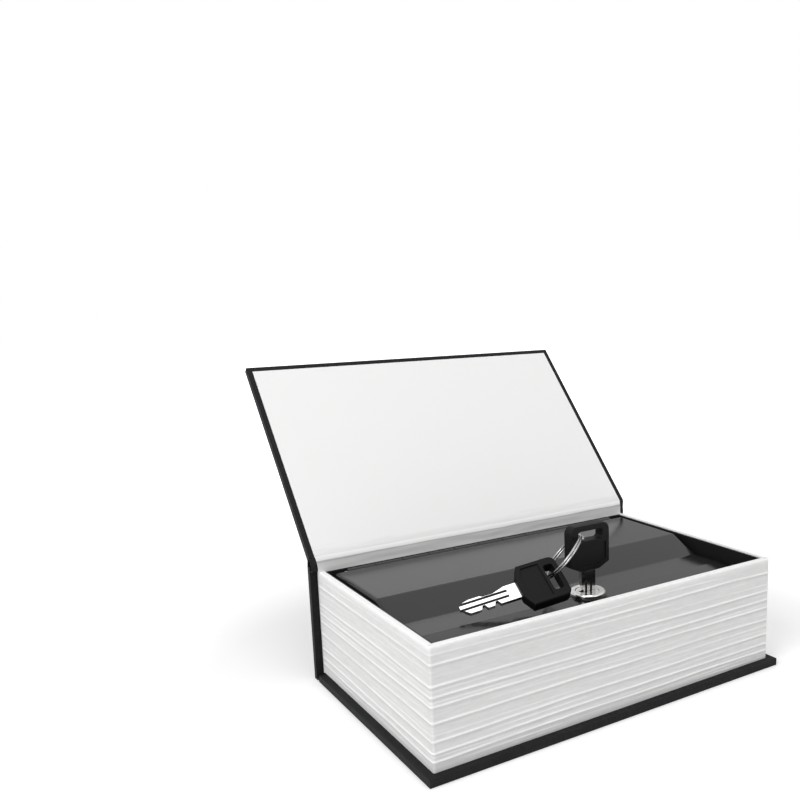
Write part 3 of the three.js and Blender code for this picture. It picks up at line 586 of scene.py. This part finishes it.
def grooved_blade(node_name, lie):
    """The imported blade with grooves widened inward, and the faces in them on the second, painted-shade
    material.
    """
    mesh = cleaned(node_name)
    own = lie.inverted()
    for vert in mesh.verts:
        place = own @ vert.co
        if abs(abs(place.x) - groove_sides[0]) < groove_within:
            place.x = math.copysign(groove_inner, place.x)
            vert.co = lie @ place
    bmesh.ops.connect_verts_concave(mesh, faces=mesh.faces[:])
    soften(mesh, blade_edge_round)
    for face in mesh.faces:
        place = own @ face.calc_center_median()
        between = groove_inner - groove_within < abs(place.x) < groove_sides[1] + groove_within
        if between and abs(place.y) < blade_face - blade_edge_round:
            face.material_index = 1
    return mesh


bow_finish = bow_plastic()
# the blades' grooves are painted dark: painted shade
groove_shade_finish, _, _ = finish("groove_painted_shade", Base_Color=groove_painted_shade_colour, Roughness=0.5, Specular_IOR_Level=0.3)
for node_name, name, lie, body in (
    ("key_blade", "key_blade_cut", key_lie, "key"),
    ("spare_blade", "spare_blade_cut", spare_lie, "spare_key"),
):
    made = even_shading(piece(name, grooved_blade(node_name, lie), nickel, body))
    made.data.materials.append(groove_shade_finish)
    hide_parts(node_name)
for node_name, name, body in (
    ("key_bow", "key_bow_moulded", "key"),
    ("spare_bow", "spare_bow_moulded", "spare_key"),
):
    made = even_shading(piece(name, softened(node_name, bow_edge_round), bow_finish, body))
    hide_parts(node_name)


# Split ring
# Spring-steel wire, nickel plated and dulled by wear, wound nearly twice round.
worn_nickel_colour = (0.42, 0.415, 0.41, 1)
ring_radius = 11.4
ring_wire = 0.9
ring_wire_sides = 14
ring_pitch = 1.0
ring_turns = 1.95
ring_steps = 96
ring_middle = Vector((-7.16, -24.3, 62.54))
ring_tilt = math.radians(48.6)
ring_heading = math.radians(146.8)
ring_start = math.radians(174)


def split_ring():
    """The wire's round section, wound up in a helix about Z and then laid where the ring hangs."""
    mesh = bmesh.new()
    bmesh.ops.create_circle(mesh, cap_ends=True, segments=ring_wire_sides, radius=ring_wire / 2)
    start = Matrix.Translation((ring_radius, 0, -ring_turns * ring_pitch / 2))
    upright = start @ Matrix.Rotation(math.pi / 2, 4, "X")
    bmesh.ops.transform(mesh, matrix=upright, verts=mesh.verts)
    bmesh.ops.spin(
        mesh,
        geom=mesh.verts[:] + mesh.edges[:] + mesh.faces[:],
        cent=(0, 0, 0),
        axis=(0, 0, 1),
        dvec=(0, 0, ring_turns * ring_pitch / ring_steps),
        angle=ring_turns * 2 * math.pi,
        steps=ring_steps,
        use_merge=False,
    )
    bmesh.ops.recalc_face_normals(mesh, faces=mesh.faces)
    lie = (
        Matrix.Translation(ring_middle)
        @ Matrix.Rotation(ring_heading, 4, "Z")
        @ Matrix.Rotation(ring_tilt, 4, "Y")
        @ Matrix.Rotation(ring_start, 4, "Z")
    )
    bmesh.ops.transform(mesh, matrix=lie, verts=mesh.verts)
    return mesh


worn_nickel = nickel_plate("worn_nickel", worn_nickel_colour, roughness=0.24)
ring = piece("wound_ring", split_ring(), worn_nickel, "ring")
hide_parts("split_ring")


# Front cover
# Board in the same cloth, turned in round three edges, with white endpaper pasted over the inside. It stands
# open, leaning back. Silver foil is stamped on the outside: a double frame and a plain lozenge device.
paper_colour = (0.885, 0.885, 0.88, 1)
# painted shade along the fold beside the joint
paper_fold_painted_shade_colour = (0.77, 0.77, 0.765, 1)
fold_low = 0.0572
fold_high = 0.061
fold_stray = 0.007
cover_opening = math.radians(132.9)
hinge = Vector(next(joint["pos_m"] for joint in frame["joints"] if joint["name"] == "cover_hinge")) * 1000
opened = Matrix.Translation(hinge) @ Matrix.Rotation(-cover_opening, 4, "X") @ Matrix.Translation(-hinge)
book_thickness = 55
spine_face = 57.5
foil_colour = (0.62, 0.62, 0.61, 1)
foil_dull_share = 0.7
foil_thickness = 0.05
foil_line = 0.5
title_middle = Vector((38, -3))
title_size = Vector((36, 56))
title_line = 0.9
title_inner_size = title_size - Vector((3.6, 3.6))
title_inner_line = 0.45
spine_rules = (67, 65, 39, 37)
spine_rule_size = Vector((0.5, 31))
spine_middle = 27


def height_on_piece(tree):
    """The height above the back cover's underside, in metres."""
    return node(tree, "ShaderNodeSeparateXYZ", {"Vector": place_on_piece(tree)}).outputs["Z"]


def endpaper(name, turn=0.0):
    """White paper, with painted shade: a little grey along the fold beside the joint."""
    material, tree, shader = finish(name, Roughness=0.7, Specular_IOR_Level=0.3)
    where = place_on_piece(tree, turn)
    clouds = grain(tree, where, scale=38, detail=4.0)
    fibres = grain(tree, where, scale=1900, detail=4.0)
    # noise that makes the edge of the painted shade wander
    fold_shade_wobble = grain(tree, place_on_piece(tree, scale=(35, 420, 420)), scale=1.0)
    height = combine(tree, height_on_piece(tree), astray(tree, fold_shade_wobble, fold_stray))
    above_fold = remap(tree, height, 0.0, 1.0, fold_low, fold_high)
    tint(tree, shader, above_fold, paper_fold_painted_shade_colour, paper_colour)
    raise_surface(tree, shader, combine(tree, fibres, clouds), distance=0.00004, strength=0.3)
    return material


def foil():
    """Silver foil, rubbed dull in spots."""
    material, tree, shader = finish("silver_foil", Metallic=1.0)
    worn = grain(tree, place_on_piece(tree), scale=1500)
    dull = tuple(foil_dull_share * value for value in foil_colour[:3]) + (1,)
    tint(tree, shader, worn, dull, foil_colour, start=0.4, end=0.6)
    roughen(tree, shader, worn, low=0.25, high=0.45)
    raise_surface(tree, shader, worn, distance=0.00005, strength=0.4)
    return material


def stamp(mesh, corners, middle, size, line):
    """Stretches a square to a size and opens it to an even line. With no line it stays a full patch."""
    stretch = Matrix.Translation(middle.to_3d()) @ Matrix.Diagonal((*size, 1, 1))
    bmesh.ops.transform(mesh, matrix=stretch, verts=corners)
    face = corners[0].link_faces[0]
    if line:
        bmesh.ops.inset_region(mesh, faces=[face], thickness=line, use_even_offset=True, use_boundary=True)
        bmesh.ops.delete(mesh, geom=[face], context="FACES")


def oblong(mesh, middle, size, line=0):
    """A rectangle of foil lying in XY."""
    corners = bmesh.ops.create_circle(mesh, cap_ends=True, segments=4, radius=math.sqrt(0.5))["verts"]
    bmesh.ops.rotate(mesh, verts=corners, cent=(0, 0, 0), matrix=Matrix.Rotation(math.pi / 4, 3, "Z"))
    stamp(mesh, corners, middle, size, line)


def lozenge(mesh, middle, size, line=0):
    """A lozenge of foil lying in XY."""
    corners = bmesh.ops.create_circle(mesh, cap_ends=True, segments=4, radius=0.5)["verts"]
    stamp(mesh, corners, middle, size, line)


def thicken(mesh):
    """Gives flat foil its thickness, upward."""
    made = bmesh.ops.extrude_face_region(mesh, geom=mesh.faces[:])["geom"]
    verts = [item for item in made if isinstance(item, bmesh.types.BMVert)]
    bmesh.ops.translate(mesh, verts=verts, vec=(0, 0, foil_thickness))
    bmesh.ops.recalc_face_normals(mesh, faces=mesh.faces)


def title_device():
    """A double frame round a lozenge in a lozenge, with a slim one above and one below, on the cover."""
    mesh = bmesh.new()
    oblong(mesh, title_middle, title_size, title_line)
    oblong(mesh, title_middle, title_inner_size, title_inner_line)
    for offset, size, line in ((0, (14, 20), foil_line), (0, (8, 12), 0), (-16, (3, 8), 0), (16, (3, 8), 0)):
        lozenge(mesh, title_middle + Vector((0, offset)), Vector(size), line)
    thicken(mesh)
    lift = Matrix.Translation((0, 0, book_thickness))
    bmesh.ops.transform(mesh, matrix=opened @ lift, verts=mesh.verts)
    return mesh


def spine_device():
    """Two pairs of rules across the spine, a large lozenge between them and a small one at the other end."""
    mesh = bmesh.new()
    for x in spine_rules:
        oblong(mesh, Vector((x, spine_middle)), spine_rule_size)
    for x, size, line in (
        (52, (13, 20), foil_line),
        (52, (7, 11), 0),
        (-64, (10, 10), foil_line),
        (-64, (5, 5), 0),
    ):
        lozenge(mesh, Vector((x, spine_middle)), Vector(size), line)
    thicken(mesh)
    swap_y_and_z = Matrix(((1, 0, 0, 0), (0, 0, 1, 0), (0, 1, 0, 0), (0, 0, 0, 1)))
    stand = Matrix.Translation((0, spine_face, 0)) @ swap_y_and_z
    bmesh.ops.transform(mesh, matrix=stand, verts=mesh.verts)
    bmesh.ops.recalc_face_normals(mesh, faces=mesh.faces)
    return mesh


cover_cloth_finish = bookcloth("cover_bookcloth", cover_opening)
cover_wrap = even_shading(
    piece("cover_wrap", softened("cover_cloth", cloth_edge_round), cover_cloth_finish, "cover")
)
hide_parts("cover_cloth")
coat(endpaper("endpaper", cover_opening), "cover_pastedown")
foil_finish = foil()
title_foil = piece("title_foil", title_device(), foil_finish, "cover")
spine_foil = piece("spine_foil", spine_device(), foil_finish, "case")


# Joint of the cover
# The cloth runs on from the spine to the cover, and a strip of endpaper covers the joint inside, glued down
# on the block's rear rim. Both are shaped for the cover as it stands open.
# painted shade in the joint's gutter: grey at the foot, greyer up to a dark crease line, lighter grey above it
gutter_foot_painted_shade_colour = (0.74, 0.74, 0.735, 1)
gutter_painted_shade_colour = (0.5, 0.5, 0.495, 1)
crease_painted_shade_colour = (0.34, 0.34, 0.335, 1)
above_crease_painted_shade_colour = (0.72, 0.72, 0.715, 1)
gutter_low = 0.0512
gutter_high = 0.0579
gutter_stray = 0.0014
crease_share = 0.72
crease_half_width = 0.055
spine_top = 53.4
rim_z = 51.5
cover_edge_closed = 51.5
cover_under = 51.8
paper_below_rim = 0.22
paper_lap = 0.03
paper_half_length = 87.3
paper_thickness = 0.3
paper_crinkle = 0.35
paper_taper = 0.0075
cloth_half_length = 90
cloth_thickness = 0.35
cloth_taper = 0.011
cloth_lap = 0.05
cloth_inside_closed = 52.3
cloth_outside_closed = 54.7
cloth_above_rim = 0.1
cloth_behind_paper = 0.7
cloth_turns_up_from = rim_z + 0.4
strip_steps = 90
bulge_from = 54.6


def gutter_paper_painted_shade():
    """Endpaper with painted shade: grey from its foot up to a dark crease line, and paler from there to the
    cover.
    """
    material, tree, shader = finish("gutter_paper_painted_shade", Roughness=0.75, Specular_IOR_Level=0.25)
    creases = grain(tree, place_on_piece(tree, scale=(30, 300, 420)), scale=1.0)
    height = combine(tree, height_on_piece(tree), astray(tree, creases, gutter_stray))
    up_the_gutter = remap(tree, height, 0.0, 1.0, gutter_low, gutter_high)
    # painted shade running up the gutter, darkest in a line at the crease
    tones = tint(tree, shader, up_the_gutter, gutter_foot_painted_shade_colour, paper_colour)
    for offset, tone in ((-1, gutter_painted_shade_colour), (0, crease_painted_shade_colour), (1, above_crease_painted_shade_colour)):
        tones.elements.new(crease_share + offset * crease_half_width).color = tone
    raise_surface(tree, shader, creases, distance=0.0003, strength=0.4)
    return material


def strip(path, half_length, thickness, crinkle, taper):
    """A sheet along X whose section follows a path of (y, z), puckered a little between its ends. Its right
    end is drawn in where it bulges forward."""
    mesh = bmesh.new()
    verts = [mesh.verts.new((-half_length, y, z)) for y, z in path]
    edges = [mesh.edges.new(pair) for pair in zip(verts, verts[1:])]
    for _ in range(strip_steps):
        verts, edges = drawn_out(mesh, edges)
        bmesh.ops.translate(mesh, verts=verts, vec=(2 * half_length / strip_steps, 0, 0))
    low = min(z for _, z in path)
    high = max(z for _, z in path)
    for vert in mesh.verts:
        loose = math.sin(math.pi * (vert.co.z - low) / (high - low))
        vert.co.y += loose * wander(vert.co.x, reach=crinkle, length=16, row=vert.co.z / 2.2, seed=3.5)
        if vert.co.x > 0:
            vert.co.x *= 1 - taper * max(0, bulge_from - vert.co.y)
    bmesh.ops.recalc_face_normals(mesh, faces=mesh.faces)
    bmesh.ops.solidify(mesh, geom=mesh.faces[:], thickness=thickness)
    bmesh.ops.recalc_face_normals(mesh, faces=mesh.faces)
    return mesh


def smooth_path(points, steps):
    """Points along a bend that starts and ends at the first and last point and leans to those between."""
    path = []
    for index in range(steps + 1):
        share = index / steps
        row = [Vector(point) for point in points]
        while len(row) > 1:
            row = [a.lerp(b, share) for a, b in zip(row, row[1:])]
        path.append(tuple(row[0]))
    return path


def opened_point(y, z):
    """Where a point (y, z) of the closed cover lies on the opened one."""
    place = opened @ Vector((0, y, z))
    return place.y, place.z


paper_top = opened_point(cover_edge_closed + paper_lap, cover_under)
paper_guides = [(51.2, rim_z - paper_below_rim), (51.5, 53.6), (51.5, 55.6), (52.9, 56.8), paper_top]
paper_path = smooth_path(paper_guides, steps=14)
paper_strip = strip(paper_path, paper_half_length, paper_thickness, paper_crinkle, paper_taper)
joint_paper = piece("joint_paper", paper_strip, gutter_paper_painted_shade(), "case", smooth=60)
outer_top = opened_point(cover_edge_closed + cloth_lap, cloth_outside_closed)
outer_path = smooth_path([(57.2, spine_top + cloth_lap), (57.5, 54.8), outer_top], steps=8)
inner_foot = [(54.4, rim_z + cloth_above_rim), (52.5, rim_z + cloth_above_rim)]
behind_paper = [(y + cloth_behind_paper, z) for y, z in paper_path if z > cloth_turns_up_from][:-1]
inner_top = opened_point(cover_edge_closed + cloth_lap, cloth_inside_closed)
cloth_path = inner_foot + behind_paper + [inner_top] + outer_path[::-1]
cloth_strip = strip(cloth_path, cloth_half_length, cloth_thickness, 0, cloth_taper)
joint_strip = piece("joint_strip", cloth_strip, cloth_finish, "case", smooth=60)
for made, node_name, slot_name in (
    (joint_strip, "joint_cloth", "bookcloth"),
    (joint_paper, "joint_endpaper", "endpaper"),
):
    made.parent = None
    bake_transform(made)
    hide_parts(node_name)


# Floor and light
# A white sheet under the book, a large lamp at the left front and two weaker ones, all soft. The sheet and
# the room look white to the camera and in metal, and the sheet keeps the book's shadow.
white = (1, 1, 1, 1)
floor_colour = (0.93, 0.93, 0.93, 1)
floor_half_side = 4
floor_below_book = 0.0002
floor_glow = 0.2
far_glow = 1.0
near_edge = 0.16
far_edge = 0.5
room_light = 0.5
room_low_reflected = 0.45
room_high_reflected = 0.95
room_low = 0.22
room_high = 0.6
lamps_look_at = Vector((0, 0, 0.05))


def floor_sheet():
    """White paper that glows more and more away from the book, seen by the camera and in metal alone."""
    look = {"Base_Color": floor_colour, "Roughness": 0.9, "Specular_IOR_Level": 0.0}
    material, tree, shader = finish("floor_sheet", **look)
    rays = node(tree, "ShaderNodeLightPath").outputs
    seen = combine(tree, rays["Is Camera Ray"], rays["Is Glossy Ray"], "MAXIMUM")
    from_middle = node(tree, "ShaderNodeVectorMath", {0: place_on_piece(tree)}, operation="LENGTH")
    rise = remap(tree, from_middle.outputs["Value"], floor_glow, far_glow, near_edge, far_edge)
    strength = combine(tree, seen, rise, "MULTIPLY")
    glow = node(tree, "ShaderNodeEmission", {"Color": white, "Strength": strength}).outputs["Emission"]
    both = node(tree, "ShaderNodeAddShader", {0: shader.outputs["BSDF"], 1: glow})
    tree.links.new(both.outputs["Shader"], tree.nodes["Material Output"].inputs["Surface"])
    return material


def room():
    """A white room to the camera, brighter overhead where metal and enamel reflect it, and a soft light."""
    world = bpy.data.worlds.new("room")
    world.use_nodes = True
    tree = world.node_tree
    rays = node(tree, "ShaderNodeLightPath").outputs
    facing = node(tree, "ShaderNodeTexCoord").outputs["Generated"]
    upward = node(tree, "ShaderNodeSeparateXYZ", {"Vector": facing}).outputs["Z"]
    overhead = remap(tree, upward, room_low_reflected, room_high_reflected, room_low, room_high)
    glossy = combine(tree, overhead, rays["Is Glossy Ray"], "MULTIPLY")
    reflected = combine(tree, glossy, remap(tree, rays["Is Glossy Ray"], room_light, 0))
    background = tree.nodes["Background"]
    background.inputs["Color"].default_value = white
    strength = combine(tree, reflected, rays["Is Camera Ray"], "MAXIMUM")
    tree.links.new(strength, background.inputs["Strength"])
    return world


def lamp(name, place, power, size):
    """A round soft lamp of a size in metres that looks at the book."""
    light = bpy.data.lights.new(name, "AREA")
    light.energy = power
    light.shape = "DISK"
    light.size = size
    made = bpy.data.objects.new(name, light)
    made.location = place
    made.rotation_euler = (lamps_look_at - Vector(place)).to_track_quat("-Z", "Y").to_euler()
    bpy.context.scene.collection.objects.link(made)


ground = bmesh.new()
bmesh.ops.create_grid(ground, x_segments=1, y_segments=1, size=floor_half_side)
ground_data = bpy.data.meshes.new("floor")
ground.to_mesh(ground_data)
ground.free()
ground_data.materials.append(floor_sheet())
floor = bpy.data.objects.new("floor", ground_data)
floor.location.z = -floor_below_book
bpy.context.scene.collection.objects.link(floor)

bpy.context.scene.world = room()
lamp("key_lamp", (-1.5, -0.55, 1.2), power=17, size=1.1)
lamp("front_lamp", (0.6, -1.8, 1.0), power=4.5, size=1.0)
lamp("top_lamp", (-0.2, -0.3, 1.8), power=5, size=1.2)

bpy.context.scene.view_settings.view_transform = "Standard"
